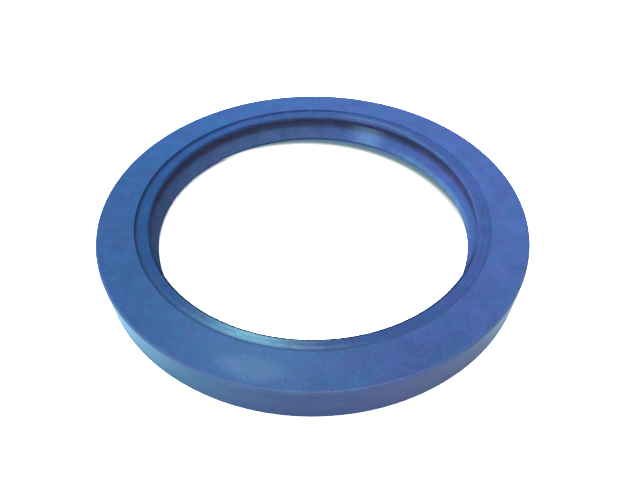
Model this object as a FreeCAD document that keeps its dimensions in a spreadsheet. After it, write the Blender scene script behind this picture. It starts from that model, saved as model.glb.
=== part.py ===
import FreeCAD, Part
import math
import os
import re
import Sketcher

# Radial shaft seal, 100 mm shaft, 130 mm housing bore, 12 mm wide, rubber covered, with a dust lip.
# Millimetres. The axis is Z. The origin is on the axis in the plane of the rim that goes into the
# housing first (the fluid side). The back face, on the air side, looks up along +Z.
# Moulding radii under half a millimetre are left off.

# Every driving size: name, value, what it measures.
SIZES = [
    ("outer_radius", 65.0, "housing bore radius that the rubber cover fills"),
    ("radial_section", 15.0, "from the shaft's surface to the housing bore"),
    ("seal_width", 12.0, "from the fluid-side rim to the back face"),
    ("back_edge_radius", 1.0, "rounding of the outer edge of the back face"),
    ("lead_length", 1.2, "length of the lead-in chamfer along the axis"),
    ("lead_angle", 20.0, "degrees between the lead-in chamfer and the axis"),
    ("outer_cover", 1.0, "rubber over the outside of the case wall"),
    ("back_cover", 1.0, "rubber over the back of the case flange"),
    ("rim_cover", 1.0, "rubber over the end of the case wall"),
    ("wall_cover", 0.6, "rubber over the inside of the case wall"),
    ("flange_cover", 0.8, "rubber under the case flange"),
    ("case_thickness", 1.2, "steel sheet of the pressed case"),
    ("case_bend_radius", 0.6, "inside radius of the bend of the case"),
    ("flange_setback", 1.2, "from the flex groove out to the hole in the case flange"),
    ("hollow_radius", 1.2, "rounding where the case wall meets the flange, inside the hollow"),
    ("flex_width", 1.4, "flex groove in the back face, across"),
    ("flex_depth", 0.5, "depth of the flex groove below the back face"),
    ("flex_wall_run", 0.4, "how far each wall of the flex groove leans"),
    ("dust_lip_clearance", 0.4, "between the shaft and the dust lip"),
    ("dust_lip_width", 2.2, "dust lip from its inner edge to the flex groove"),
    ("dust_lip_drop", 0.1, "how far the dust lip's outer edge lies below the back face"),
    ("dust_lip_fall", 0.4, "how far the top of the dust lip falls towards the shaft"),
    ("dust_lip_nose", 0.8, "rounding of the dust lip's upper inner edge"),
    ("dust_lip_depth", 1.0, "height of the dust lip's inner edge"),
    ("valley_drop", 1.7, "bottom of the valley between the lips, below the dust lip's inner edge"),
    ("valley_rounding", 1.0, "rounding of the bottom of the valley"),
    ("lip_interference", 0.9, "how far the free sealing edge stands inside the shaft's surface"),
    ("lip_height", 2.1, "sealing edge above the rim plane"),
    ("lip_land", 0.3, "length of the sealing edge's cylindrical land"),
    ("air_side_angle", 28.0, "degrees between the lip's air side and the axis"),
    ("fluid_side_angle", 45.0, "degrees between the lip's fluid side and the axis"),
    ("head_height", 0.8, "end of the lip's head above the rim plane"),
    ("membrane_thickness", 1.7, "flexible wall between the lip's head and the case"),
    ("membrane_rounding", 1.4, "rounding of both ends of the flexible wall"),
    ("coil_radius", 1.3, "outside of the garter spring's coil"),
    ("spring_offset", 1.0, "plane of the garter spring above the sealing edge"),
    ("spring_inset", 0.55, "centre line of the spring inside the outer side of the lip's head"),
    ("spring_clearance", 0.05, "between the coil and its groove"),
    ("spring_shoulder", 0.8, "lip's head above the garter spring's groove"),
    ("nib_step", 0.25, "how much thinner the end of the coil that screws into the other end is"),
    ("nib_angle", 4.0, "degrees of the ring where the narrowed end shows"),
    ("nib_seat_angle", 6.0, "degrees of the narrowed end held inside the full coil, each side"),
    ("notch_width", 4.0, "mould notch in the rim, across"),
    ("notch_reach", 0.8, "how much of the case's end each mould notch bares"),
    ("notch_margin", 0.5, "how far the notch runs past the wall cover into the hollow"),
    ("notch_count", 12.0, "mould notches round the rim"),
]

# Sizes that follow from the driving ones. Each is written once and used by every piece it touches.
SHAFT_RADIUS = "(outer_radius - radial_section)"
CASE_OUTER = "(outer_radius - outer_cover)"
CASE_INNER = f"({CASE_OUTER} - case_thickness)"
CASE_TOP = "(seal_width - back_cover)"
FLANGE_UNDER = f"({CASE_TOP} - case_thickness)"
HOLLOW_WALL = f"({CASE_INNER} - wall_cover)"
HOLLOW_TOP = f"({FLANGE_UNDER} - flange_cover)"

DUST_LIP_RADIUS = f"({SHAFT_RADIUS} + dust_lip_clearance)"
FLEX_INNER = f"({DUST_LIP_RADIUS} + dust_lip_width)"
FLEX_OUTER = f"({FLEX_INNER} + flex_width)"
FLANGE_BORE = f"({FLEX_OUTER} + flange_setback)"
DUST_LIP_TOP = "(seal_width - dust_lip_drop)"
DUST_LIP_NOSE_TOP = f"({DUST_LIP_TOP} - dust_lip_fall)"
DUST_LIP_UNDER = f"({DUST_LIP_NOSE_TOP} - dust_lip_depth)"

LIP_RADIUS = f"({SHAFT_RADIUS} - lip_interference)"
LAND_TOP = "(lip_height + lip_land)"
VALLEY_UP = f"({DUST_LIP_UNDER} - valley_drop)"
GROOVE_RADIUS = "(coil_radius + spring_clearance)"
SPRING_HEIGHT = "(lip_height + spring_offset)"
SHOULDER_TOP = f"({SPRING_HEIGHT} + {GROOVE_RADIUS} + spring_shoulder)"
MEMBRANE_RUN = "(membrane_thickness / cos(air_side_angle))"
HOOK_RADIUS = f"({LIP_RADIUS} + ({SHOULDER_TOP} - {LAND_TOP}) * tan(air_side_angle) + {MEMBRANE_RUN})"
SPRING_RADIUS = f"({HOOK_RADIUS} - spring_inset)"


def in_sheet(expression):
    """The same expression with every size read from the sheet."""
    return re.sub(r"[a-z_]+\b(?!\()", lambda word: "Sizes." + word.group(0), expression)


def make_sizes(doc):
    """Write the driving sizes into a sheet, one row each, with the size's name as its alias."""
    sheet = doc.addObject("Spreadsheet::Sheet", "Sizes")
    for row, (name, value, meaning) in enumerate(SIZES, start=1):
        sheet.set(f"A{row}", name)
        sheet.set(f"B{row}", str(value))
        sheet.set(f"C{row}", meaning)
        sheet.setAlias(f"B{row}", name)
    doc.recompute()
    return sheet


def value_of(sheet, expression):
    """Number that an expression of sizes gives."""
    result = sheet.evalExpression(in_sheet(expression))
    return float(getattr(result, "Value", result))


def origin_plane(body, role):
    """One of a body's own three planes."""
    return next(plane for plane in body.Origin.OriginFeatures if plane.Role == role)


def new_sketch(body, name, role):
    """Empty sketch on one of the body's own planes."""
    sketch = body.newObject("Sketcher::SketchObject", name)
    sketch.AttachmentSupport = [(origin_plane(body, role), "")]
    sketch.MapMode = "FlatFace"
    return sketch


def bind(sketch, constraint, name, expression):
    """Add a dimension and tie it to the sheet."""
    index = sketch.addConstraint(constraint)
    sketch.renameConstraint(index, name)
    sketch.setExpression("Constraints." + name, in_sheet(expression))


def place_point(sketch, sheet, geometry, end, name, across, up):
    """Tie a point to its distance from the axis and its height. A height of None is the rim plane."""
    origin, first_point, across_axis = -1, 1, -1
    value = value_of(sheet, across)
    rule = Sketcher.Constraint("DistanceX", origin, first_point, geometry, end, value)
    bind(sketch, rule, name + "_across", across)
    if up is None:
        sketch.addConstraint(Sketcher.Constraint("PointOnObject", geometry, end, across_axis))
        return
    value = value_of(sheet, up)
    rule = Sketcher.Constraint("DistanceY", origin, first_point, geometry, end, value)
    bind(sketch, rule, name + "_up", up)


def draw_profile(sketch, sheet, corners):
    """Draw a closed outline of straight sides through corners (name, across, up, rounding).

    A corner with a rounding gets an arc tangent to both sides, and its sharp corner stays as a
    construction point that carries the two distances.
    """
    start_of, end_of = 1, 2
    count = len(corners)
    sharp = []
    radii = []
    for name, across, up, rounding in corners:
        height = 0.0 if up is None else value_of(sheet, up)
        sharp.append(FreeCAD.Vector(value_of(sheet, across), height, 0))
        radii.append(0.0 if rounding is None else value_of(sheet, rounding))

    # Tangent points and arcs at the rounded corners.
    entries, exits, arcs = [], [], []
    for index in range(count):
        corner = sharp[index]
        back = (sharp[index - 1] - corner).normalize()
        ahead = (sharp[(index + 1) % count] - corner).normalize()
        if radii[index] == 0.0:
            entries.append(corner)
            exits.append(corner)
            arcs.append(None)
            continue
        half_angle = back.getAngle(ahead) / 2
        cut = radii[index] / math.tan(half_angle)
        entry = corner + back * cut
        leave = corner + ahead * cut
        middle = corner + (back + ahead).normalize() * (radii[index] / math.sin(half_angle))
        turns_left = back.cross(ahead).z < 0
        first, last = (entry, leave) if turns_left else (leave, entry)
        circle = Part.Circle(middle, FreeCAD.Vector(0, 0, 1), radii[index])
        first_angle = math.atan2(first.y - middle.y, first.x - middle.x)
        last_angle = math.atan2(last.y - middle.y, last.x - middle.x)
        entries.append(entry)
        exits.append(leave)
        arcs.append((Part.ArcOfCircle(circle, first_angle, last_angle), turns_left))

    # Sides, from each corner's exit to the next corner's entry.
    sides = []
    for index in range(count):
        line = Part.LineSegment(exits[index], entries[(index + 1) % count])
        sides.append(sketch.addGeometry(line, False))

    # Corners: sharp ones join two sides, rounded ones join them through an arc.
    for index, (name, across, up, rounding) in enumerate(corners):
        before, after = sides[index - 1], sides[index]
        if arcs[index] is None:
            join = Sketcher.Constraint("Coincident", before, end_of, after, start_of)
            sketch.addConstraint(join)
            place_point(sketch, sheet, after, start_of, name, across, up)
            continue
        arc, turns_left = arcs[index]
        bend = sketch.addGeometry(arc, False)
        entry_end, exit_end = (start_of, end_of) if turns_left else (end_of, start_of)
        sketch.addConstraint(Sketcher.Constraint("Tangent", before, end_of, bend, entry_end))
        sketch.addConstraint(Sketcher.Constraint("Tangent", bend, exit_end, after, start_of))
        radius = Sketcher.Constraint("Radius", bend, radii[index])
        bind(sketch, radius, name + "_rounding", rounding)
        point = sketch.addGeometry(Part.Point(sharp[index]), True)
        sketch.addConstraint(Sketcher.Constraint("PointOnObject", point, start_of, before))
        sketch.addConstraint(Sketcher.Constraint("PointOnObject", point, start_of, after))
        place_point(sketch, sheet, point, start_of, name, across, up)


def draw_circle(sketch, sheet, name, across, up, radius):
    """Draw one circle with its centre and radius tied to the sheet."""
    centre_of = 3
    height = 0.0 if up is None else value_of(sheet, up)
    centre = FreeCAD.Vector(value_of(sheet, across), height, 0)
    size = value_of(sheet, radius)
    circle = sketch.addGeometry(Part.Circle(centre, FreeCAD.Vector(0, 0, 1), size), False)
    bind(sketch, Sketcher.Constraint("Radius", circle, size), name + "_radius", radius)
    place_point(sketch, sheet, circle, centre_of, name, across, up)


def turn(body, kind, name, sketch):
    """Revolve a sketch about the seal's axis, adding (Revolution) or cutting (Groove)."""
    feature = body.newObject("PartDesign::" + kind, name)
    feature.Profile = sketch
    feature.ReferenceAxis = (sketch, ["V_Axis"])
    feature.Angle = 360.0
    sketch.Visibility = False
    body.Tip = feature
    return feature


def case_corners():
    """Section of the pressed case: a wall under the outer cover and a flange under the back face."""
    bend_outside = "case_bend_radius + case_thickness"
    return [
        ("wall_end_outer", CASE_OUTER, "rim_cover", None),
        ("bend_outer", CASE_OUTER, CASE_TOP, bend_outside),
        ("flange_end_top", FLANGE_BORE, CASE_TOP, None),
        ("flange_end_under", FLANGE_BORE, FLANGE_UNDER, None),
        ("bend_inner", CASE_INNER, FLANGE_UNDER, "case_bend_radius"),
        ("wall_end_inner", CASE_INNER, "rim_cover", None),
    ]


def rubber_corners():
    """Section of the moulded rubber, from the lead-in chamfer round the back to the rim."""
    lead_run = "lead_length * tan(lead_angle)"
    flex_floor = "seal_width - flex_depth"
    valley = f"{LIP_RADIUS} + ({VALLEY_UP} - {LAND_TOP}) * tan(air_side_angle)"
    head_inner = f"{LIP_RADIUS} + (lip_height - head_height) * tan(fluid_side_angle)"
    membrane_end = f"{LIP_RADIUS} + ({HOLLOW_TOP} - {LAND_TOP}) * tan(air_side_angle) + {MEMBRANE_RUN}"
    return [
        ("lead_inner", f"outer_radius - {lead_run}", None, None),
        ("lead_outer", "outer_radius", "lead_length", None),
        ("back_edge", "outer_radius", "seal_width", "back_edge_radius"),
        ("flex_outer", FLEX_OUTER, "seal_width", None),
        ("flex_floor_outer", f"{FLEX_OUTER} - flex_wall_run", flex_floor, None),
        ("flex_floor_inner", f"{FLEX_INNER} + flex_wall_run", flex_floor, None),
        ("flex_inner", FLEX_INNER, DUST_LIP_TOP, None),
        ("dust_nose", DUST_LIP_RADIUS, DUST_LIP_NOSE_TOP, "dust_lip_nose"),
        ("dust_heel", DUST_LIP_RADIUS, DUST_LIP_UNDER, None),
        ("valley", valley, VALLEY_UP, "valley_rounding"),
        ("land_top", LIP_RADIUS, LAND_TOP, None),
        ("land_under", LIP_RADIUS, "lip_height", None),
        ("head_inner", head_inner, "head_height", None),
        ("head_outer", HOOK_RADIUS, "head_height", None),
        ("membrane_start", HOOK_RADIUS, SHOULDER_TOP, "membrane_rounding"),
        ("membrane_end", membrane_end, HOLLOW_TOP, "membrane_rounding"),
        ("hollow_corner", HOLLOW_WALL, HOLLOW_TOP, "hollow_radius"),
        ("rim_inner", HOLLOW_WALL, None, None),
    ]


def make_rubber_body(doc, sheet):
    """The moulded rubber: outer cover, back face, dust lip, sealing lip and flexible wall in one."""
    body = doc.addObject("PartDesign::Body", "rubber_body")
    section = new_sketch(body, "rubber_section", "XZ_Plane")
    draw_profile(section, sheet, rubber_corners())
    turn(body, "Revolution", "rubber_ring", section)

    pocket = new_sketch(body, "case_pocket_section", "XZ_Plane")
    draw_profile(pocket, sheet, case_corners())
    turn(body, "Groove", "case_pocket", pocket)

    seat = new_sketch(body, "spring_groove_section", "XZ_Plane")
    draw_circle(seat, sheet, "spring_groove", SPRING_RADIUS, SPRING_HEIGHT, GROOVE_RADIUS)
    turn(body, "Groove", "spring_groove", seat)

    cut_mould_notches(doc, body, sheet)
    return body


def cut_mould_notches(doc, body, sheet):
    """Cut one notch from the rim up to the end of the case wall, then repeat it round the axis."""
    sketch = new_sketch(body, "mould_notch_outline", "XY_Plane")
    inside = f"{HOLLOW_WALL} - notch_margin"
    outside = f"{CASE_INNER} + notch_reach"
    half = value_of(sheet, "notch_width") / 2
    near, far = value_of(sheet, inside), value_of(sheet, outside)
    points = [(near, -half), (far, -half), (far, half), (near, half)]
    corners = [FreeCAD.Vector(across, along, 0) for across, along in points]
    for index in range(len(corners)):
        line = Part.LineSegment(corners[index], corners[(index + 1) % len(corners)])
        sketch.addGeometry(line, False)
    lower, outer, upper, inner = range(len(corners))
    start_of, end_of, origin, across_axis = 1, 2, -1, -1
    for side, following in ((lower, outer), (outer, upper), (upper, inner), (inner, lower)):
        sketch.addConstraint(Sketcher.Constraint("Coincident", side, end_of, following, start_of))
    sketch.addConstraint(Sketcher.Constraint("Horizontal", lower))
    sketch.addConstraint(Sketcher.Constraint("Horizontal", upper))
    sketch.addConstraint(Sketcher.Constraint("Vertical", inner))
    middle = Sketcher.Constraint("Symmetric", outer, start_of, outer, end_of, across_axis)
    sketch.addConstraint(middle)
    width = Sketcher.Constraint("DistanceY", outer, start_of, outer, end_of, 2 * half)
    bind(sketch, width, "notch_width", "notch_width")
    reach = Sketcher.Constraint("DistanceX", origin, start_of, outer, start_of, far)
    bind(sketch, reach, "notch_outer", outside)
    depth = Sketcher.Constraint("DistanceX", origin, start_of, inner, end_of, near)
    bind(sketch, depth, "notch_inner", inside)

    notch = body.newObject("PartDesign::Pocket", "mould_notch")
    notch.Profile = sketch
    notch.Type = "Length"
    notch.setExpression("Length", in_sheet("rim_cover"))
    notch.Reversed = True
    sketch.Visibility = False
    body.Tip = notch
    doc.recompute()

    ring = body.newObject("PartDesign::PolarPattern", "mould_notches")
    ring.Originals = [notch]
    ring.Axis = (sketch, ["N_Axis"])
    ring.Angle = 360.0
    ring.setExpression("Occurrences", in_sheet("notch_count"))
    body.Tip = ring


def make_metal_case(doc, sheet):
    """The pressed steel ring that the rubber is bonded to, an L in section."""
    body = doc.addObject("PartDesign::Body", "metal_case")
    section = new_sketch(body, "case_section", "XZ_Plane")
    draw_profile(section, sheet, case_corners())
    turn(body, "Revolution", "case_ring", section)
    return body


def make_garter_spring(doc, sheet):
    """The garter spring as the ring its closed coil fills, with its narrowed end at the joint."""
    body = doc.addObject("PartDesign::Body", "garter_spring")
    coil_section = new_sketch(body, "coil_section", "XZ_Plane")
    draw_circle(coil_section, sheet, "coil", SPRING_RADIUS, None, "coil_radius")
    coil = turn(body, "Revolution", "coil_ring", coil_section)
    coil.setExpression("Angle", in_sheet("360 - nib_angle"))

    nib_section = new_sketch(body, "nib_section", "XZ_Plane")
    draw_circle(nib_section, sheet, "nib", SPRING_RADIUS, None, "coil_radius - nib_step")
    nib = turn(body, "Revolution", "nib_ring", nib_section)
    nib.Type = "TwoAngles"
    nib.setExpression("Angle", in_sheet("nib_seat_angle"))
    nib.setExpression("Angle2", in_sheet("nib_angle + nib_seat_angle"))
    body.setExpression("Placement.Base.z", in_sheet(SPRING_HEIGHT))
    return body


def check(doc, bodies):
    """Stop if any object failed or any sub-part is not one valid solid."""
    failed = [item.Name for item in doc.Objects if {"Invalid", "Error"} & set(item.State)]
    if failed:
        raise RuntimeError("objects that did not compute: " + ", ".join(failed))
    for body in bodies:
        shape = body.Shape
        if shape.isNull() or not shape.isValid() or len(shape.Solids) != 1:
            raise RuntimeError(body.Label + " is not one valid solid")


def main():
    doc = FreeCAD.newDocument("radial_shaft_seal")
    sheet = make_sizes(doc)
    bodies = [make_rubber_body(doc, sheet), make_metal_case(doc, sheet), make_garter_spring(doc, sheet)]
    doc.recompute()
    check(doc, bodies)
    os.makedirs("parts", exist_ok=True)
    for body in bodies:
        body.Shape.exportStep(f"parts/{body.Label}.step")
        box = body.Shape.BoundBox
        print(f"{body.Label}: {body.Shape.Volume:.1f} mm3, Z {box.ZMin:.2f} to {box.ZMax:.2f}")


main()
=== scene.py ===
import math
import bpy
import numpy as np
from mathutils import Matrix, Vector


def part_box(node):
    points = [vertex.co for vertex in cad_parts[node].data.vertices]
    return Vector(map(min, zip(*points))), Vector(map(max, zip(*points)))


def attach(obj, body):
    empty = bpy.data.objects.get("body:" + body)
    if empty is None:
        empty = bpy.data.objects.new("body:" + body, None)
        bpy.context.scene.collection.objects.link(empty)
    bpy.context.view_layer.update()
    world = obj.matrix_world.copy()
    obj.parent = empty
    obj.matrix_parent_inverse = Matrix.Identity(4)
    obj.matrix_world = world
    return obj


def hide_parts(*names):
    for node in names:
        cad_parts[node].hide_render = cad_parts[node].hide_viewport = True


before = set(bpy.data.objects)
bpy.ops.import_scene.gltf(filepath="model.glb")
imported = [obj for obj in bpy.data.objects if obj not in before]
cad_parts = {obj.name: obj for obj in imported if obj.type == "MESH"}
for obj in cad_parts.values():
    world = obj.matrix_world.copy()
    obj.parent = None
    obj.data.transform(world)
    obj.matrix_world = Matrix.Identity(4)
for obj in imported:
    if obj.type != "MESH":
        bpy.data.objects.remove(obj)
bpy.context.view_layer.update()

# A radial shaft seal of blue rubber, lying on its fluid-side rim with the air side up.
mm = 0.001


# Mesh helpers

def gridMesh(name, points, sharpAngle):
    # Closed surface through a grid of points that joins up with itself both ways.
    rows, columns = points.shape[:2]
    index = np.arange(rows * columns).reshape(rows, columns)
    right = np.roll(index, -1, axis=1)
    below = np.roll(index, -1, axis=0)
    corner = np.roll(right, -1, axis=0)
    faces = np.stack([index, right, corner, below], axis=-1).reshape(-1, 4)
    flat = points.reshape(-1, 3)
    # Volume as the sum of the pyramids from the origin to each face; negative means inside out.
    quads = flat[faces]
    cross = np.cross(quads[:, 2] - quads[:, 0], quads[:, 3] - quads[:, 1])
    if np.einsum("ij,ij->", quads.mean(axis=1), cross) < 0:
        faces = faces[:, ::-1]
    mesh = bpy.data.meshes.new(name)
    mesh.vertices.add(len(flat))
    mesh.vertices.foreach_set("co", flat.astype(np.float32).ravel())
    mesh.loops.add(faces.size)
    mesh.loops.foreach_set("vertex_index", faces.astype(np.int32).ravel())
    mesh.polygons.add(len(faces))
    mesh.polygons.foreach_set("loop_start", np.arange(0, faces.size, 4, dtype=np.int32))
    mesh.polygons.foreach_set("loop_total", np.full(len(faces), 4, dtype=np.int32))
    mesh.polygons.foreach_set("use_smooth", np.ones(len(faces), dtype=bool))
    mesh.update(calc_edges=True)
    mesh.validate()
    mesh.set_sharp_from_angle(angle=math.radians(sharpAngle))
    piece = bpy.data.objects.new(name, mesh)
    bpy.context.scene.collection.objects.link(piece)
    return piece


def roundedSection(corners, size):
    # Closed outline through corners (radius, height, rounding): straight sides joined by arcs
    # tangent to both. An arc has a point every arcStep degrees. A side longer than shortSide has
    # one every sideStep, and one sideEnd from each arc, which keeps its shading flat.
    sharp = np.array([(radius, height) for radius, height, rounding in corners])
    arcs = []
    for place, (radius, height, rounding) in enumerate(corners):
        here = sharp[place]
        back = sharp[place - 1] - here
        ahead = sharp[(place + 1) % len(sharp)] - here
        back = back / np.linalg.norm(back)
        ahead = ahead / np.linalg.norm(ahead)
        halfAngle = math.acos(np.clip(np.dot(back, ahead), -1, 1)) / 2
        middle = here + (back + ahead) / np.linalg.norm(back + ahead) * rounding / math.sin(halfAngle)
        entry = here + back * rounding / math.tan(halfAngle)
        leave = here + ahead * rounding / math.tan(halfAngle)
        first = math.atan2(*(entry - middle)[::-1])
        swing = math.atan2(*(leave - middle)[::-1]) - first
        swing = (swing + math.pi) % (2 * math.pi) - math.pi
        count = max(2, math.ceil(abs(math.degrees(swing)) / size["arcStep"]))
        angles = first + swing * np.linspace(0, 1, count + 1)
        arcs.append(middle + rounding * np.stack([np.cos(angles), np.sin(angles)], axis=-1))
    outline = []
    margin = size["sideEnd"]
    for place, arc in enumerate(arcs):
        outline.append(arc)
        start, stop = arc[-1], arcs[(place + 1) % len(arcs)][0]
        length = np.linalg.norm(stop - start)
        if length > size["shortSide"]:
            inner = max(1, math.ceil((length - 2 * margin) / size["sideStep"]))
            along = np.linspace(margin, length - margin, inner + 1) / length
            outline.append(start + (stop - start) * along[:, None])
    return np.concatenate(outline)


# Shader helpers

def newMaterial(name):
    material = bpy.data.materials.new(name)
    material.use_nodes = True
    tree = material.node_tree
    tree.nodes.clear()
    output = tree.nodes.new("ShaderNodeOutputMaterial")
    shader = tree.nodes.new("ShaderNodeBsdfPrincipled")
    tree.links.new(shader.outputs["BSDF"], output.inputs["Surface"])
    return material, tree, shader


def addNode(tree, kind, settings=None, **inputs):
    # One node with its properties set, and its inputs set or linked. _0 is the first input.
    node = tree.nodes.new(kind)
    for name, value in (settings or {}).items():
        setattr(node, name, value)
    for name, value in inputs.items():
        socket = node.inputs[int(name[1:])] if name[1:].isdigit() else node.inputs[name]
        if isinstance(value, bpy.types.NodeSocket):
            tree.links.new(value, socket)
        else:
            socket.default_value = value
    return node


def calculate(tree, operation, first, second=0.0, third=0.0):
    node = addNode(tree, "ShaderNodeMath", {"operation": operation}, _0=first, _1=second, _2=third)
    return node.outputs[0]


def multiply(tree, first, *others):
    for other in others:
        first = calculate(tree, "MULTIPLY", first, other)
    return first


def vectorMath(tree, operation, first, **inputs):
    return addNode(tree, "ShaderNodeVectorMath", {"operation": operation}, _0=first, **inputs).outputs


def mixColour(tree, factor, first, second):
    node = addNode(tree, "ShaderNodeMix", {"data_type": "RGBA"}, _0=factor, _6=first, _7=second)
    return node.outputs[2]


def mixShader(tree, factor, first, second):
    return addNode(tree, "ShaderNodeMixShader", _0=factor, _1=first, _2=second).outputs[0]


def addRamp(tree, value, start, stop, low=0.0, high=1.0, shape="SMOOTHSTEP"):
    # From low at start to high at stop, as a smooth step or as a straight line.
    node = addNode(tree, "ShaderNodeMapRange", {"interpolation_type": shape}, Value=value)
    if start > stop:
        start, stop, low, high = stop, start, high, low
    for name, number in (("From Min", start), ("From Max", stop), ("To Min", low), ("To Max", high)):
        node.inputs[name].default_value = number
    return node.outputs[0]


def perMetre(tree, millimetres):
    # Scale of a texture whose patches have this size.
    return calculate(tree, "DIVIDE", 1000.0, millimetres)


def objectPlace(tree):
    return addNode(tree, "ShaderNodeTexCoord").outputs["Object"]


def axesOf(tree, vector):
    # The x, y and z of a place.
    return addNode(tree, "ShaderNodeSeparateXYZ", Vector=vector).outputs


def radiusOf(tree, axes):
    # Distance from the axis: the square root of x squared plus y squared.
    squares = [multiply(tree, axes[side], axes[side]) for side in (0, 1)]
    return calculate(tree, "SQRT", calculate(tree, "ADD", *squares))


def distanceTowards(tree, axes, azimuth):
    # How far a place lies towards an azimuth: x cos(azimuth) + y sin(azimuth).
    turn = math.radians(azimuth)
    return calculate(tree, "MULTIPLY_ADD", axes[0], math.cos(turn), multiply(tree, axes[1], math.sin(turn)))


def distanceFrom(tree, value, middle):
    return calculate(tree, "ABSOLUTE", calculate(tree, "SUBTRACT", value, middle))


def startGroup(name, inputs, outputs):
    # Node group with named number sockets, each input with its value.
    group = bpy.data.node_groups.new(name, "ShaderNodeTree")
    for label, value in inputs.items():
        socket = group.interface.new_socket(label, in_out="INPUT", socket_type="NodeSocketFloat")
        socket.default_value = value
    for label in outputs:
        group.interface.new_socket(label, in_out="OUTPUT", socket_type="NodeSocketFloat")
    entry = group.nodes.new("NodeGroupInput")
    leave = group.nodes.new("NodeGroupOutput")
    return group, entry.outputs, leave.inputs


def makeMottleGroup():
    # Cloudy patches of tone, as a moulding compound shows them, with finer flecks on top.
    group, given, result = startGroup(
        "mouldedMottle",
        {"Patch Size": 9.0, "Fleck Size": 1.2, "Fleck Share": 0.3},
        ["Patches", "Hue Drift"],
    )
    driftShift = (0.31, 0.17, 0.05)
    spot = objectPlace(group)
    broad = perMetre(group, given["Patch Size"])
    fine = perMetre(group, given["Fleck Size"])
    cloud = addNode(group, "ShaderNodeTexNoise", Vector=spot, Scale=broad, Detail=4.0, Roughness=0.55)
    fleck = addNode(group, "ShaderNodeTexNoise", Vector=spot, Scale=fine, Detail=3.0, Roughness=0.6)
    shifted = vectorMath(group, "ADD", spot, _1=driftShift)[0]
    drift = addNode(group, "ShaderNodeTexNoise", Vector=shifted, Scale=broad, Detail=2.0)
    both = addNode(
        group, "ShaderNodeMix", {"data_type": "FLOAT"}, _0=given["Fleck Share"],
        _2=cloud.outputs[0], _3=fleck.outputs[0],
    )
    group.links.new(both.outputs[0], result["Patches"])
    group.links.new(drift.outputs[0], result["Hue Drift"])
    return group


def makeGrainGroup():
    # Height of a moulded skin: fine grain, wider unevenness and sparse specks of dust and pits.
    group, given, result = startGroup(
        "mouldedGrain",
        {"Grain Size": 0.35, "Wave Size": 6.0, "Wave Share": 0.5, "Speck Size": 2.6, "Speck Share": 0.2},
        ["Height", "Specks", "Pits"],
    )
    coreInner, coreOuter = 0.06, 0.13
    speckTone, pitTone = 0.72, 0.22
    spot = objectPlace(group)
    fine = perMetre(group, given["Grain Size"])
    broad = perMetre(group, given["Wave Size"])
    sparse = perMetre(group, given["Speck Size"])
    grain = addNode(group, "ShaderNodeTexNoise", Vector=spot, Scale=fine, Detail=3.0, Roughness=0.6)
    wave = addNode(group, "ShaderNodeTexNoise", Vector=spot, Scale=broad, Detail=2.0, Roughness=0.5)
    cells = addNode(group, "ShaderNodeTexVoronoi", Vector=spot, Scale=sparse)
    # A speck or a pit is the middle of a cell, kept where the cell's own colour is high or low.
    core = addRamp(group, cells.outputs["Distance"], coreInner, coreOuter, 1.0, 0.0, "LINEAR")
    tone = addNode(group, "ShaderNodeSeparateColor", Color=cells.outputs["Color"]).outputs[0]
    specks = multiply(group, core, calculate(group, "GREATER_THAN", tone, speckTone))
    pits = multiply(group, core, calculate(group, "LESS_THAN", tone, pitTone))
    # Height = grain + wave share times wave + speck share times (specks - pits).
    waveHeight = multiply(group, wave.outputs[0], given["Wave Share"])
    speckHeight = multiply(group, calculate(group, "SUBTRACT", specks, pits), given["Speck Share"])
    total = calculate(group, "ADD", calculate(group, "ADD", grain.outputs[0], waveHeight), speckHeight)
    group.links.new(total, result["Height"])
    group.links.new(specks, result["Specks"])
    group.links.new(pits, result["Pits"])
    return group


def makeScuffGroup():
    # Fine rubbed lines that run round the axis: noise of radius and height only, broken up by a
    # wider noise. Scuffs where twice their product passes the threshold.
    group, given, result = startGroup("turnedScuffs", {"Line Size": 0.5, "Threshold": 0.62}, ["Scuffs"])
    spreadScale, fullScuff = 45.0, 0.9
    spot = objectPlace(group)
    axes = axesOf(group, spot)
    ring = addNode(group, "ShaderNodeCombineXYZ", X=radiusOf(group, axes), Y=axes[2], Z=0.0)
    fine = perMetre(group, given["Line Size"])
    lines = addNode(group, "ShaderNodeTexNoise", Vector=ring.outputs[0], Scale=fine, Detail=2.0)
    spread = addNode(group, "ShaderNodeTexNoise", Vector=spot, Scale=spreadScale, Detail=3.0)
    product = multiply(group, lines.outputs[0], spread.outputs[0], 2.0)
    level = addNode(group, "ShaderNodeMapRange", Value=product)
    group.links.new(given["Threshold"], level.inputs["From Min"])
    level.inputs["From Max"].default_value = fullScuff
    group.links.new(level.outputs[0], result["Scuffs"])
    return group


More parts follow.
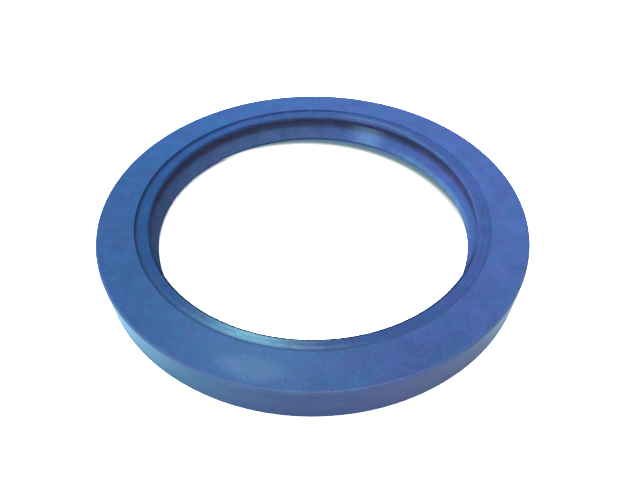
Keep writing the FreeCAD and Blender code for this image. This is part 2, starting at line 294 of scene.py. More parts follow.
def makeScratchGroup():
    # Short straight scratches seen from above: one at the middle of some cells of a flat pattern,
    # turned by the cell's own colour. Inside where |across| < width and |along| < length.
    group, given, result = startGroup(
        "shortScratches", {"Cell Size": 5.0, "Length": 0.3, "Width": 0.02, "Share": 0.5}, ["Scratches"],
    )
    bendScale, bendShare = 1.5, 0.25
    spot = vectorMath(group, "SCALE", objectPlace(group), Scale=perMetre(group, given["Cell Size"]))[0]
    bend = addNode(group, "ShaderNodeTexNoise", Vector=spot, Scale=bendScale, Detail=1.0)
    bent = vectorMath(group, "SCALE", bend.outputs["Color"], Scale=bendShare)[0]
    spot = vectorMath(group, "ADD", spot, _1=bent)[0]
    cells = addNode(group, "ShaderNodeTexVoronoi", {"voronoi_dimensions": "2D"}, Vector=spot, Scale=1.0)
    away = vectorMath(group, "SUBTRACT", spot, _1=cells.outputs["Position"])[0]
    tones = addNode(group, "ShaderNodeSeparateColor", Color=cells.outputs["Color"]).outputs
    turn = multiply(group, tones[0], 2 * math.pi)
    turned = addNode(group, "ShaderNodeVectorRotate", {"rotation_type": "Z_AXIS"}, Vector=away, Angle=turn)
    sides = axesOf(group, turned.outputs[0])
    near = [calculate(group, "DIVIDE", calculate(group, "ABSOLUTE", sides[side]), given[limit])
            for side, limit in ((0, "Length"), (1, "Width"))]
    inside = [calculate(group, "MAXIMUM", calculate(group, "SUBTRACT", 1.0, part), 0.0) for part in near]
    line = multiply(group, calculate(group, "SQRT", inside[0]), inside[1])
    kept = calculate(group, "LESS_THAN", tones[1], given["Share"])
    group.links.new(multiply(group, line, kept), result["Scratches"])
    return group


mottleGroup = makeMottleGroup()
grainGroup = makeGrainGroup()
scuffGroup = makeScuffGroup()
scratchGroup = makeScratchGroup()


def useGroup(tree, group, values):
    # A copy of a shared effect in one material, with that material's own values.
    node = tree.nodes.new("ShaderNodeGroup")
    node.node_tree = group
    for name, value in values.items():
        node.inputs[name].default_value = value
    return node


# Blue rubber. Places are in metres, azimuths in degrees from the right, turning to the far side.

blueRubber = {
    # The colour from left to right, with painted shade on the left and painted light towards the far right,
    # and the drifts of its hue.
    "left": (0.0320, 0.109, 0.337, 1.0), "right": (0.067, 0.124, 0.380, 1.0),
    "toneFrom": -0.060, "toneTo": 0.045, "toneSwing": 0.60,
    "paintedLightTurn": 60.0, "paintedLightFrom": -0.045, "paintedLightTo": 0.035, "paintedLightLow": 0.80, "paintedLightHigh": 1.12,
    "mottle": {"Patch Size": 5.0, "Fleck Size": 0.7, "Fleck Share": 0.55},
    "violet": (0.095, 0.112, 0.410, 1.0), "violetShare": 0.30, "violetFrom": 0.48, "violetTo": 0.70,
    "teal": (0.030, 0.155, 0.370, 1.0), "tealShare": 0.30, "tealFrom": 0.52, "tealTo": 0.30,
    # Under the dust lip: a painted shade tint, painted valley shade, the lip's painted dark edge and a painted
    # reflection at its foot.
    "softEdge": 0.0003,
    "paintedShadeTint": (0.090, 0.150, 0.315, 1.0), "shadeTintShare": 0.8, "underDustLipRadius": 0.0529, "underDustLipTop": 0.0106,
    "shadeTintFrom": 0.040, "shadeTintTo": -0.010,
    "valley": (0.055, 0.048, 0.098, 1.0), "valleyShare": 0.85, "valleyFrom": 0.0056, "valleyTo": 0.0070,
    "lipEdgeShade": 0.0027, "lipEdgeShadeShare": 0.5,
    "paintedFootReflection": (0.16, 0.34, 0.50, 1.0), "footReflectionShare": 0.42, "footReflectionFrom": 0.0044, "footReflectionTo": 0.0030,
    "footReflectionTurn": 22.0, "footReflectionStart": 0.040, "footReflectionFull": 0.047,
    # On the dust lip: its tone, painted shade by the step, along a line and at its edges, and a painted
    # highlight streak.
    "dustLipEdge": 0.0541, "dustLipSoft": 0.0002, "dustLipTone": 0.86,
    "paintedShade": (0.006, 0.018, 0.050, 1.0), "stepShadeLow": 0.08, "stepShadeShare": 0.33,
    "stepShadeTurn": 165.0, "stepShadeFrom": 0.004, "stepShadeTo": 0.045, "stepShadeInner": 0.0526, "stepShadeOuter": 0.0537,
    "lineRadius": 0.0522, "lineHalf": 0.0003, "lineShare": 0.22, "lineFrom": 0.036, "lineTo": 0.046,
    "noseShare": 0.34, "noseOuter": 0.0513, "noseInner": 0.0502, "noseFrom": 0.005, "noseTo": 0.040,
    "rubbedShare": 0.85, "rubbedOuter": 0.0509, "rubbedInner": 0.0506,
    "rubbedFrom": -0.010, "rubbedTo": -0.035,
    "crestRadius": 0.0519, "crestHalf": 0.0008, "crestShare": 0.30,
    "crestTurn": 62.0, "crestFrom": 0.0490, "crestTo": 0.0515,
    # On the face: a painted highlight on the outer edge, a painted reflection in an oval, and the marks and
    # pits of use.
    "dust": (0.30, 0.42, 0.60, 1.0), "pit": (0.012, 0.040, 0.130, 1.0), "pitShare": 0.60,
    "edgeInner": 0.0641, "edgeOuter": 0.0645, "edgeLow": 0.0109, "edgeTop": 0.0113,
    "edgeShare": 0.13, "edgeFrom": -0.015, "edgeTo": -0.040,
    "ovalTurn": -104.0, "ovalRadius": 0.0602, "ovalLong": 0.0095, "ovalWide": 0.0034,
    "ovalShare": 0.12, "ovalOuter": 1.3, "ovalInner": 0.1,
    "grain": {
        "Grain Size": 0.4, "Wave Size": 5.0, "Wave Share": 1.2, "Speck Size": 1.7, "Speck Share": 1.5,
    },
    "scratches": {"Cell Size": 4.0, "Length": 0.35, "Width": 0.035, "Share": 0.55},
    "faceHeight": 0.0118, "scratchShare": 0.4, "markShare": 0.28,
    # Gloss and relief of the skin.
    "roughness": 0.33, "roughnessSwing": 0.10,
    "lipRoughness": 0.15, "smoothInner": 0.0528, "smoothOuter": 0.0536,
    "bumpDistance": 0.00005, "bumpStrength": 0.30, "refraction": 1.5,
}


def paintUnderDustLip(tree, look, axes, radius, body):
    soft = look["softEdge"]
    inside = addRamp(tree, radius, look["underDustLipRadius"], look["underDustLipRadius"] - soft)
    under = multiply(tree, inside, addRamp(tree, axes[2], look["underDustLipTop"], look["underDustLipTop"] - soft))
    # Painted shade: a dull greyer tint in the valley and on the lip, mostly on the left.
    leftShare = addRamp(tree, axes[0], look["shadeTintFrom"], look["shadeTintTo"], 0.0, look["shadeTintShare"])
    body = mixColour(tree, multiply(tree, under, leftShare), body, look["paintedShadeTint"])
    # Painted shade: the valley above the lip is painted dull and brownish.
    deep = addRamp(tree, axes[2], look["valleyFrom"], look["valleyTo"], 0.0, look["valleyShare"])
    body = mixColour(tree, multiply(tree, under, deep), body, look["valley"])
    # Painted shade: the very edge of the lip is painted dark, mostly on the left.
    edge = addRamp(tree, axes[2], look["lipEdgeShade"], look["lipEdgeShade"] - soft, 0.0, look["lipEdgeShadeShare"])
    body = mixColour(tree, multiply(tree, inside, edge, leftShare), body, look["paintedShade"])
    # Painted reflection: on the right the foot of the lip is painted pale.
    low = addRamp(tree, axes[2], look["footReflectionFrom"], look["footReflectionTo"])
    ahead = distanceTowards(tree, axes, look["footReflectionTurn"])
    rightShare = addRamp(tree, ahead, look["footReflectionStart"], look["footReflectionFull"], 0.0, look["footReflectionShare"])
    return mixColour(tree, multiply(tree, inside, low, rightShare), body, look["paintedFootReflection"])


def tintCompound(tree, look, mottle, paintedLight, onDustLip, body):
    # The hue drifts to violet where the drift is high and to teal where it is low.
    for hue in ("violet", "teal"):
        share = addRamp(tree, mottle.outputs["Hue Drift"], look[hue + "From"], look[hue + "To"],
                        0.0, look[hue + "Share"], "LINEAR")
        body = mixColour(tree, share, body, look[hue])
    # Patches lighten and darken the whole, and the painted light scales it: brightness = painted light (1 + 2
    # swing (patch - 0.5)).
    offset = calculate(tree, "SUBTRACT", mottle.outputs["Patches"], 0.5)
    tone = multiply(tree, calculate(tree, "MULTIPLY_ADD", offset, look["toneSwing"] * 2, 1.0), paintedLight)
    # The dust lip is a shade darker than the face.
    tone = multiply(tree, tone, addRamp(tree, onDustLip, 0.0, 1.0, 1.0, look["dustLipTone"]))
    return vectorMath(tree, "SCALE", body, Scale=tone)[0]


def dustLipGrime(tree, look, axes, radius):
    # Painted shade against the step round the dust lip, most on the left.
    toLeft = distanceTowards(tree, axes, look["stepShadeTurn"])
    leftShare = addRamp(tree, toLeft, look["stepShadeFrom"], look["stepShadeTo"], look["stepShadeLow"], look["stepShadeShare"])
    leftStepShade = multiply(tree, leftShare, addRamp(tree, radius, look["stepShadeInner"], look["stepShadeOuter"]))
    # Painted shade of a groove: a fine dark line runs round the middle of the dust lip on the right.
    fromLine = distanceFrom(tree, radius, look["lineRadius"])
    line = multiply(
        tree, addRamp(tree, fromLine, look["lineHalf"], 0.0),
        addRamp(tree, axes[0], look["lineFrom"], look["lineTo"], 0.0, look["lineShare"]),
    )
    # Painted shade: the dust lip's edge darkens towards the opening at the far side, and is painted dark along
    # the front.
    edges = [
        multiply(
            tree, addRamp(tree, radius, look[mark + "Outer"], look[mark + "Inner"]),
            addRamp(tree, axes[1], look[mark + "From"], look[mark + "To"], 0.0, look[mark + "Share"]),
        )
        for mark in ("nose", "rubbed")
    ]
    paintedShade = leftStepShade
    for mark in (line, *edges):
        paintedShade = calculate(tree, "MAXIMUM", paintedShade, mark)
    return paintedShade


def paintHighlights(tree, look, axes, radius, onDustLip, body):
    # Painted highlight: the outer edge is painted a little pale along the front.
    edge = multiply(
        tree, addRamp(tree, radius, look["edgeInner"], look["edgeOuter"]),
        addRamp(tree, axes[2], look["edgeLow"], look["edgeTop"]),
        addRamp(tree, axes[1], look["edgeFrom"], look["edgeTo"], 0.0, look["edgeShare"]),
    )
    body = mixColour(tree, edge, body, look["dust"])
    # A painted highlight streak lies on the dust lip at the far right: 1 - |radius - crest| / half width.
    ahead = distanceTowards(tree, axes, look["crestTurn"])
    streak = multiply(
        tree, addRamp(tree, distanceFrom(tree, radius, look["crestRadius"]), look["crestHalf"], 0.0),
        addRamp(tree, ahead, look["crestFrom"], look["crestTo"], 0.0, look["crestShare"]), onDustLip,
    )
    body = mixColour(tree, streak, body, look["dust"])
    # A painted reflection, a pale oval on the near face: (along / long)^2 + (across / wide)^2 < 1, softly.
    along = calculate(tree, "DIVIDE", distanceTowards(tree, axes, look["ovalTurn"] + 90), look["ovalLong"])
    across = calculate(tree, "SUBTRACT", radius, look["ovalRadius"])
    across = calculate(tree, "DIVIDE", across, look["ovalWide"])
    oval = calculate(tree, "MULTIPLY_ADD", along, along, multiply(tree, across, across))
    oval = multiply(
        tree, addRamp(tree, oval, look["ovalOuter"], look["ovalInner"], 0.0, look["ovalShare"]),
        calculate(tree, "LESS_THAN", axes[1], 0.0),
    )
    return mixColour(tree, oval, body, look["dust"])


def makeBlueRubber(look):
    material, tree, shader = newMaterial("blueRubber")
    mottle = useGroup(tree, mottleGroup, look["mottle"])
    grain = useGroup(tree, grainGroup, look["grain"])
    scratches = useGroup(tree, scratchGroup, look["scratches"])
    axes = axesOf(tree, objectPlace(tree))
    radius = radiusOf(tree, axes)
    # Painted shade and light: the colour is painted a little deeper and greener on the left of the
    # seal than on the right, and paler towards the far right.
    rightward = addRamp(tree, axes[0], look["toneFrom"], look["toneTo"])
    body = mixColour(tree, rightward, look["left"], look["right"])
    farRight = distanceTowards(tree, axes, look["paintedLightTurn"])
    paintedLight = addRamp(tree, farRight, look["paintedLightFrom"], look["paintedLightTo"], look["paintedLightLow"], look["paintedLightHigh"])
    onDustLip = multiply(
        tree, addRamp(tree, axes[2], look["underDustLipTop"] - look["softEdge"], look["underDustLipTop"]),
        addRamp(tree, radius, look["dustLipEdge"], look["dustLipEdge"] - look["dustLipSoft"]),
    )
    body = paintUnderDustLip(tree, look, axes, radius, body)
    body = tintCompound(tree, look, mottle, paintedLight, onDustLip, body)
    # Painted shade on the dust lip: by the step, along a line and at its edges.
    paintedShade = multiply(tree, dustLipGrime(tree, look, axes, radius), onDustLip)
    body = mixColour(tree, paintedShade, body, look["paintedShade"])
    body = paintHighlights(tree, look, axes, radius, onDustLip, body)
    # Specks of dust, pits, and on the flat face a few scratches.
    onFace = calculate(tree, "GREATER_THAN", axes[2], look["faceHeight"])
    marks = multiply(tree, scratches.outputs["Scratches"], onFace)
    marks = calculate(tree, "MULTIPLY_ADD", marks, look["scratchShare"], grain.outputs["Specks"])
    body = mixColour(tree, multiply(tree, marks, look["markShare"]), body, look["dust"])
    body = mixColour(tree, multiply(tree, grain.outputs["Pits"], look["pitShare"]), body, look["pit"])
    tree.links.new(body, shader.inputs["Base Color"])
    # The two lips come from a smoother part of the mould than the face.
    swing = multiply(tree, mottle.outputs["Patches"], look["roughnessSwing"])
    rough = calculate(tree, "ADD", swing, look["roughness"])
    smoother = look["roughness"] - look["lipRoughness"]
    smooth = addRamp(tree, radius, look["smoothOuter"], look["smoothInner"], 0.0, smoother)
    tree.links.new(calculate(tree, "SUBTRACT", rough, smooth), shader.inputs["Roughness"])
    bump = addNode(tree, "ShaderNodeBump", Height=grain.outputs["Height"],
                   Strength=look["bumpStrength"], Distance=look["bumpDistance"])
    tree.links.new(bump.outputs[0], shader.inputs["Normal"])
    shader.inputs["IOR"].default_value = look["refraction"]
    return material


# Steel of the case and of the spring

steelFinish = {
    "fleckRatio": 6, "fleckShare": 0.4, "threshold": 0.4, "scuffShare": 0.15, "roughnessSwing": 0.12,
    "bumpStrength": 0.2, "bumpDistance": 0.00003,
}
caseSteel = {
    **steelFinish, "light": (0.30, 0.31, 0.32, 1.0), "dark": (0.17, 0.18, 0.19, 1.0),
    "roughness": 0.42, "patchSize": 4.0, "lineSize": 0.8,
}
springSteel = {
    **steelFinish, "light": (0.62, 0.61, 0.60, 1.0), "dark": (0.42, 0.41, 0.40, 1.0),
    "roughness": 0.24, "patchSize": 3.0, "lineSize": 0.3,
}


def makeSteel(name, look):
    material, tree, shader = newMaterial(name)
    fleckSize = look["patchSize"] / look["fleckRatio"]
    mottle = useGroup(tree, mottleGroup, {
        "Patch Size": look["patchSize"], "Fleck Size": fleckSize, "Fleck Share": look["fleckShare"],
    })
    scuffs = useGroup(tree, scuffGroup, {"Line Size": look["lineSize"], "Threshold": look["threshold"]})
    body = mixColour(tree, mottle.outputs["Patches"], look["dark"], look["light"])
    tree.links.new(body, shader.inputs["Base Color"])
    shader.inputs["Metallic"].default_value = 1.0
    rubbed = multiply(tree, scuffs.outputs["Scuffs"], look["scuffShare"])
    swing = multiply(tree, mottle.outputs["Patches"], look["roughnessSwing"])
    rough = calculate(tree, "ADD", calculate(tree, "ADD", swing, rubbed), look["roughness"])
    tree.links.new(rough, shader.inputs["Roughness"])
    bump = addNode(tree, "ShaderNodeBump", Height=mottle.outputs["Patches"],
                   Strength=look["bumpStrength"], Distance=look["bumpDistance"])
    tree.links.new(bump.outputs[0], shader.inputs["Normal"])
    return material


# Rubber body: the whole moulding as one section turned round the axis. Millimetres.

rubberBody = {
    "outerRadius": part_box("rubber_body")[1][0] / mm,
    "width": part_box("rubber_body")[1][2] / mm,
    "backEdge": 0.8, "leadLength": 1.2, "leadRun": 0.437, "leadEdge": 0.15,
    "stepTop": 54.15, "stepRadius": 54.02, "stepFloor": 11.24, "stepEdge": 0.08,
    "beadRadius": 53.20, "beadTop": 11.30, "beadEdge": 1.0,
    "flexRadius": 52.30, "flexFloor": 11.26, "flexEdge": 2.0,
    "dustCrown": 51.4, "dustCrownHeight": 11.28, "dustCrownEdge": 2.0,
    "dustRadius": 50.05, "dustNoseTop": 11.30, "dustNose": 0.7, "dustHeelHeight": 10.3, "dustHeel": 0.3,
    "valleyHeight": 8.8, "valleyRounding": 1.0, "airSideAngle": 28.0,
    "lipRadius": 49.1, "landTop": 2.4, "landUnder": 2.1, "lipEdge": 0.05,
    "headInner": 50.4, "headHeight": 0.8, "headEdge": 0.3,
    "springHeight": 3.1, "springInset": 0.55, "grooveRadius": 1.35, "grooveEdge": 0.08,
    "groovePoints": 15, "grooveRounding": 0.02,
    "shoulderTop": 5.25, "membraneThickness": 1.7, "membraneRounding": 1.4,
    "hollowTop": 9.0, "hollowWall": 62.2, "hollowRounding": 1.2, "rimEdge": 0.4,
    "notchCount": 12, "notchWidth": 4.0, "notchOuter": 63.6, "notchRoof": 1.02,
    "notchMargin": 0.1, "notchWall": 0.04,
    # Steps of the mesh, and the angle over which an edge is sharp, in degrees.
    "arcStep": 14.0, "sideStep": 1.6, "sideEnd": 0.12, "shortSide": 0.6,
    "azimuthSteps": 380, "sharpAngle": 35.0,
}


def airSideRadius(size, height, offset=0.0):
    # Radius on the lip's air side, a cone: lip radius + (height - land top) tan(angle), and the
    # same for the membrane's other face, which lies its thickness away.
    angle = math.radians(size["airSideAngle"])
    return size["lipRadius"] + (height - size["landTop"]) * math.tan(angle) + offset / math.cos(angle)


wallAway = rubberBody["membraneThickness"]
rubberBody["valleyRadius"] = airSideRadius(rubberBody, rubberBody["valleyHeight"])
rubberBody["hookRadius"] = airSideRadius(rubberBody, rubberBody["shoulderTop"], wallAway)
rubberBody["membraneEnd"] = airSideRadius(rubberBody, rubberBody["hollowTop"], wallAway)
rubberBody["springRadius"] = rubberBody["hookRadius"] - rubberBody["springInset"]


def springGrooveCorners(size):
    # The part circle that holds the spring, as points from its lower mouth to its upper mouth.
    mouth = math.acos((size["hookRadius"] - size["springRadius"]) / size["grooveRadius"])
    angles = np.linspace(2 * math.pi - mouth, mouth, size["groovePoints"])
    radius = size["springRadius"] + size["grooveRadius"] * np.cos(angles)
    height = size["springHeight"] + size["grooveRadius"] * np.sin(angles)
    edges = [size["grooveEdge"]] + [size["grooveRounding"]] * (len(angles) - 2) + [size["grooveEdge"]]
    return list(zip(radius, height, edges))


def rubberSection(size):
    # Corners (radius, height, rounding) in order, from the lead-in chamfer over the back face,
    # down the two lips, round the spring's groove and back through the hollow to the rim.
    s = size
    return [
        (s["outerRadius"] - s["leadRun"], 0.0, s["leadEdge"]),
        (s["outerRadius"], s["leadLength"], s["leadEdge"]),
        (s["outerRadius"], s["width"], s["backEdge"]),
        (s["stepTop"], s["width"], s["stepEdge"]),
        (s["stepRadius"], s["stepFloor"], s["stepEdge"]),
        (s["beadRadius"], s["beadTop"], s["beadEdge"]),
        (s["flexRadius"], s["flexFloor"], s["flexEdge"]),
        (s["dustCrown"], s["dustCrownHeight"], s["dustCrownEdge"]),
        (s["dustRadius"], s["dustNoseTop"], s["dustNose"]),
        (s["dustRadius"], s["dustHeelHeight"], s["dustHeel"]),
        (s["valleyRadius"], s["valleyHeight"], s["valleyRounding"]),
        (s["lipRadius"], s["landTop"], s["lipEdge"]),
        (s["lipRadius"], s["landUnder"], s["lipEdge"]),
        (s["headInner"], s["headHeight"], s["headEdge"]),
        (s["hookRadius"], s["headHeight"], s["headEdge"]),
        *springGrooveCorners(s),
        (s["hookRadius"], s["shoulderTop"], s["membraneRounding"]),
        (s["membraneEnd"], s["hollowTop"], s["membraneRounding"]),
        (s["hollowWall"], s["hollowTop"], s["hollowRounding"]),
        (s["hollowWall"], 0.0, s["rimEdge"]),
    ]


def makeRubberBody(size):
    # The section (radius, height) is carried round the axis: x = radius cos a, y = radius sin a.
    section = roundedSection(rubberSection(size), size)
    radius, height = section[:, 0], section[:, 1]
    # In a notch the stretch of rim from the hollow to the notch's outer wall lies on its roof.
    innerEnd = size["hollowWall"] - size["notchMargin"]
    rim = (height < size["notchRoof"]) & (radius < size["notchOuter"]) & (radius > innerEnd)
    share = np.linspace(0, 1, rim.sum())
    notchRadius, notchHeight = radius.copy(), height.copy()
    notchRadius[rim] = size["hollowWall"] + (size["notchOuter"] - size["hollowWall"]) * share
    notchHeight[rim] = size["notchRoof"]
    # Azimuth lines stand evenly, with a close pair at each wall of each notch.
    halfNotch = math.asin(size["notchWidth"] / 2 / size["notchOuter"])
    wall = size["notchWall"] / size["notchOuter"]
    centres = np.arange(size["notchCount"]) * 2 * math.pi / size["notchCount"]
    walls = [centres + side * (halfNotch + step) for side in (-1, 1) for step in (-wall, wall)]
    even = np.linspace(0, 2 * math.pi, size["azimuthSteps"], endpoint=False)
    azimuth = np.unique(np.concatenate([even] + walls) % (2 * math.pi))
    offset = np.abs((azimuth[:, None] - centres + math.pi) % (2 * math.pi) - math.pi).min(axis=1)
    inNotch = (offset < halfNotch)[:, None]
    r = np.where(inNotch, notchRadius, radius)
    z = np.where(inNotch, notchHeight, height)
    a = azimuth[:, None]
    points = np.stack([r * np.cos(a), r * np.sin(a), z], axis=-1) * mm
    piece = gridMesh("rubberBody", points, size["sharpAngle"])
    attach(piece, "root")
    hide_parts("rubber_body")
    piece.data.materials.append(makeBlueRubber(blueRubber))
    print("rubber body", points.shape, "triangles", 2 * points.shape[0] * points.shape[1])


# Garter spring: a closed coil of wire laid round the seal. Millimetres, and degrees of azimuth.

garterSpring = {
    "ringRadius": rubberBody["springRadius"], "ringHeight": rubberBody["springHeight"],
    "coilRadius": 1.3, "wireRadius": 0.21, "turns": 760, "stepsPerTurn": 11, "wireSides": 6,
    "nibRadius": 1.05, "nibStart": -4.0, "nibEnd": 0.0, "nibBlend": 0.8, "sharpAngle": 80.0,
}


def makeGarterSpring(size):
    # A helix of the coil's radius wound round a ring: azimuth t, coil angle turns times t.
    # The wire is a circle carried along it, square to the coil's own radius and to the helix.
    steps = size["turns"] * size["stepsPerTurn"]
    t = np.linspace(0, 2 * math.pi, steps, endpoint=False)
    # The coil narrows to the nib radius at the joint, from nibStart to nibEnd.
    degrees = (np.degrees(t) + 180) % 360 - 180
    into = np.clip((degrees - size["nibStart"]) / size["nibBlend"], 0, 1)
    out = np.clip((size["nibEnd"] - degrees) / size["nibBlend"], 0, 1)
    neck = np.minimum(into, out)
    coil = size["coilRadius"] - (size["coilRadius"] - size["nibRadius"]) * neck - size["wireRadius"]
    angle = size["turns"] * t
    zero = np.zeros_like(t)
    outward = np.stack([np.cos(t), np.sin(t), zero], axis=-1)
    upward = np.stack([zero, zero, zero + 1], axis=-1)
    side = outward * np.cos(angle)[:, None] + upward * np.sin(angle)[:, None]
    centre = outward * size["ringRadius"] + upward * size["ringHeight"] + side * coil[:, None]
    run = np.roll(centre, -1, axis=0) - np.roll(centre, 1, axis=0)
    run /= np.linalg.norm(run, axis=1)[:, None]
    across = np.cross(run, side)
    across /= np.linalg.norm(across, axis=1)[:, None]
    v = np.linspace(0, 2 * math.pi, size["wireSides"], endpoint=False)
    around = side[:, None] * np.cos(v)[:, None] + across[:, None] * np.sin(v)[:, None]
    points = (centre[:, None] + size["wireRadius"] * around) * mm
    piece = gridMesh("garterSpring", points, size["sharpAngle"])
    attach(piece, "root")
    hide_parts("garter_spring")
    piece.data.materials.append(makeSteel("springSteel", springSteel))
    print("garter spring", size["turns"], "turns, triangles", 2 * points.shape[0] * points.shape[1])


makeRubberBody(rubberBody)
makeGarterSpring(garterSpring)
caseNode = bpy.data.objects["metal_case"]
caseNode.data.materials.clear()
caseNode.data.materials.append(makeSteel("caseSteel", caseSteel))
print("pieces made")


# Floor, light and camera. Metres and degrees.

white = (1.0, 1.0, 1.0)
studio = {
    "floorHalf": 3.0, "floorColour": (0.92, 0.92, 0.92, 1.0), "floorRoughness": 0.9,
    "exposedWhite": (4.40, 4.50, 4.45, 1.0), "shadowReach": 0.085, "whiteFrom": 0.16,
    # Shade on the paper under the far right of the lip: outside a circle pushed the other way.
    "lipShade": (0.165, 0.260, 0.290, 1.0), "lipShadeDeep": (0.095, 0.185, 0.350, 1.0),
    "lipShadeCentre": (-0.00355, -0.00568, 0.0), "lipShadeFrom": 0.0534, "lipShadeTo": 0.0557,
    "lipShadeFull": 0.0575, "lipShadeEnd": 0.0560,
    # Tint of the paper in a reflection, by its place from left to right: (metres, colour).
    "mirrorTints": [
        (-0.080, (2.40, 3.30, 3.60, 1.0)), (-0.055, (1.15, 2.25, 2.45, 1.0)),
        (-0.035, (0.55, 1.15, 1.20, 1.0)), (-0.008, (0.50, 0.58, 0.72, 1.0)),
        (0.022, (0.58, 0.62, 0.72, 1.0)), (0.046, (0.62, 0.77, 0.82, 1.0)),
        (0.060, (1.00, 1.45, 1.50, 1.0)),
    ],
    "mirrorInside": (0.04, 0.07, 0.14, 1.0), "mirrorReach": 0.1, "openingFrom": 0.052, "openingTo": 0.058,
    "contactFrom": 0.0650, "contactTo": 0.0672, "contactShade": 0.60,
    "worldStrength": 0.16, "roomGlow": 0.08,
    "lampDistance": 0.85,
    # Each lamp: direction (azimuth and elevation), width, height, light it gives, tint and
    # whether reflections show it.
    "lamps": {
        "overhead": (250, 80, 0.60, 0.60, 0.29, white, False),
        "windowLeft": (165, 40, 0.40, 0.40, 0.55, white, False),
        "front": (265, 58, 0.90, 0.30, 0.30, white, True),
        "right": (20, 35, 0.40, 0.40, 0.13, white, False),
        "windowBack": (130, 20, 0.12, 0.14, 0.05, (0.6, 0.95, 1.0), True),
        "windowFront": (229, 21, 0.24, 0.14, 0.10, (0.35, 0.75, 1.0), True),
        "panel": (105.5, 57.5, 0.11, 0.09, 0.13, (0.40, 1.0, 0.95), True),
        "panelRight": (91.5, 57, 0.06, 0.05, 0.02, (0.85, 0.95, 1.0), True),
    },
}


def paperSeen(tree, size, spot, reach):
    # To the camera the paper is exposed past white, so only the shade close under the seal shows,
    # and away from the seal it is plain white.
    exposed = addNode(tree, "ShaderNodeBsdfDiffuse", Color=size["exposedWhite"])
    plain = addNode(tree, "ShaderNodeEmission")
    away = addRamp(tree, reach, size["shadowReach"], size["whiteFrom"])
    seen = mixShader(tree, away, exposed.outputs[0], plain.outputs[0])
    # Under the far right of the lip lies a soft shade. It goes from white to its tint and on to a
    # deeper one with the distance from its circle's centre.
    pushed = vectorMath(tree, "DISTANCE", spot, _1=size["lipShadeCentre"])["Value"]
    deep = addRamp(tree, pushed, size["lipShadeTo"], size["lipShadeFull"])
    tint = mixColour(tree, deep, size["lipShade"], size["lipShadeDeep"])
    begun = addRamp(tree, pushed, size["lipShadeFrom"], size["lipShadeTo"])
    tint = mixColour(tree, begun, (*white, 1.0), tint)
    underLip = multiply(
        tree, calculate(tree, "GREATER_THAN", pushed, size["lipShadeFrom"]),
        calculate(tree, "LESS_THAN", reach, size["lipShadeEnd"]),
    )
    shade = addNode(tree, "ShaderNodeEmission", Color=tint)
    return mixShader(tree, underLip, seen, shade.outputs[0])


def paperMirrored(tree, size, spot, reach):
    # In a reflection its tint changes from left to right, and it is dark inside the opening.
    span = addRamp(tree, axesOf(tree, spot)[0], -size["mirrorReach"], size["mirrorReach"], shape="LINEAR")
    tints = addNode(tree, "ShaderNodeValToRGB", Fac=span)
    stops = tints.color_ramp.elements
    for index, (where, tint) in enumerate(size["mirrorTints"]):
        position = (where / size["mirrorReach"] + 1) / 2
        element = stops[index] if index < 2 else stops.new(position)
        element.position, element.color = position, tint
    outside = addRamp(tree, reach, size["openingFrom"], size["openingTo"])
    tinted = mixColour(tree, outside, size["mirrorInside"], tints.outputs[0])
    # Close to the wall the seal shades the paper.
    close = addRamp(tree, reach, size["contactFrom"], size["contactTo"], size["contactShade"], 1.0)
    return addNode(tree, "ShaderNodeEmission", Color=tinted, Strength=close).outputs[0]


def makeFloor(size):
    half = size["floorHalf"]
    corners = [(-half, -half, 0), (half, -half, 0), (half, half, 0), (-half, half, 0)]
    mesh = bpy.data.meshes.new("floor")
    mesh.from_pydata(corners, [], [(0, 1, 2, 3)])
    floor = bpy.data.objects.new("floor", mesh)
    bpy.context.scene.collection.objects.link(floor)
    material, tree, shader = newMaterial("whitePaper")
    shader.inputs["Base Color"].default_value = size["floorColour"]
    shader.inputs["Roughness"].default_value = size["floorRoughness"]
    spot = objectPlace(tree)
    reach = vectorMath(tree, "LENGTH", spot)["Value"]
    surface = shader.outputs["BSDF"].links[0].to_socket
    path = addNode(tree, "ShaderNodeLightPath").outputs
    paper = mixShader(tree, path["Is Camera Ray"], shader.outputs[0], paperSeen(tree, size, spot, reach))
    paper = mixShader(tree, path["Is Glossy Ray"], paper, paperMirrored(tree, size, spot, reach))
    tree.links.new(paper, surface)
    mesh.materials.append(material)


def makeWorld(size):
    world = bpy.data.worlds.new("studioWorld")
    world.use_nodes = True
    tree = world.node_tree
    background = tree.nodes["Background"]
    background.inputs["Color"].default_value = (*white, 1.0)
    # The room lights the seal evenly but is dim in reflections, and to the camera it is white.
    path = addNode(tree, "ShaderNodeLightPath").outputs
    strength = addRamp(tree, path["Is Glossy Ray"], 0.0, 1.0, size["worldStrength"], size["roomGlow"])
    strength = calculate(tree, "MAXIMUM", strength, path["Is Camera Ray"])
    tree.links.new(strength, background.inputs["Strength"])
    bpy.context.scene.world = world


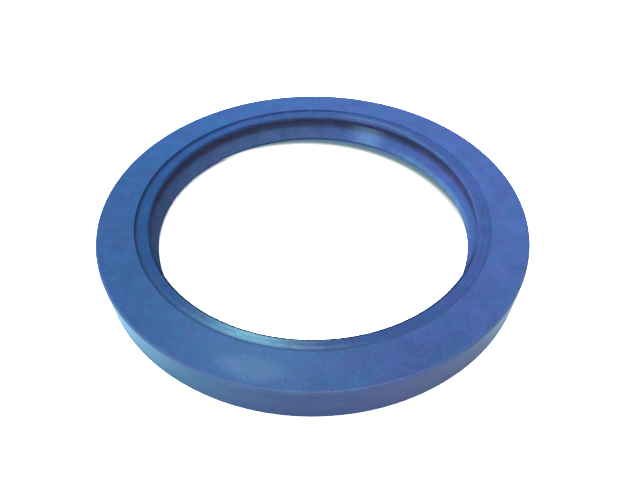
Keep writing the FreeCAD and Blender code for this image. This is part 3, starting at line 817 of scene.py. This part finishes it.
def addSoftbox(name, azimuth, elevation, width, height, light, tint, mirrored, distance):
    # An area lamp that looks at the origin. A surface that faces it gets light e from power
    # pi squared times distance squared times e.
    lamp = bpy.data.lights.new(name, "AREA")
    lamp.shape = "RECTANGLE"
    lamp.size, lamp.size_y = width, height
    lamp.energy = (math.pi * distance) ** 2 * light
    lamp.color = tint
    turn, rise = math.radians(azimuth), math.radians(elevation)
    direction = Vector((math.cos(rise) * math.cos(turn), math.cos(rise) * math.sin(turn), math.sin(rise)))
    piece = bpy.data.objects.new(name, lamp)
    piece.location = direction * distance
    piece.rotation_euler = (-direction).to_track_quat("-Z", "Y").to_euler()
    piece.visible_glossy = mirrored
    bpy.context.scene.collection.objects.link(piece)


makeFloor(studio)
makeWorld(studio)
for name, lamp in studio["lamps"].items():
    addSoftbox(name, *lamp, studio["lampDistance"])

# The camera looks from the front at the centre of the back face, turned a little off it. Its
# distance is in millimetres.
view = {
    "focalPixels": 500.0, "framePixels": 640, "sensorWidth": 36.0, "elevation": 40.75, "distance": 156.4,
    "panDegrees": 0.715, "tiltDegrees": 4.477, "rollDegrees": 0.180, "clipStart": 0.005,
}


def makeCamera(setup, width):
    lens = bpy.data.cameras.new("camera")
    lens.sensor_width = setup["sensorWidth"]
    lens.lens = setup["focalPixels"] * lens.sensor_width / setup["framePixels"]
    lens.clip_start = setup["clipStart"]
    camera = bpy.data.objects.new("camera", lens)
    elevation = math.radians(setup["elevation"])
    back = Vector((0, -math.cos(elevation), math.sin(elevation)))
    target = Vector((0, 0, width * mm))
    upright = Matrix.Rotation(math.pi / 2 - elevation, 3, "X")
    pan = Matrix.Rotation(-math.radians(setup["panDegrees"]), 3, "Y")
    tilt = Matrix.Rotation(-math.radians(setup["tiltDegrees"]), 3, "X")
    roll = Matrix.Rotation(-math.radians(setup["rollDegrees"]), 3, "Z")
    turn = upright @ pan @ tilt @ roll
    camera.matrix_world = Matrix.Translation(back * setup["distance"] * mm + target) @ turn.to_4x4()
    bpy.context.scene.collection.objects.link(camera)
    bpy.context.scene.camera = camera


makeCamera(view, rubberBody["width"])
bpy.context.scene.view_settings.view_transform = "Standard"
print("floor, lights and camera set")
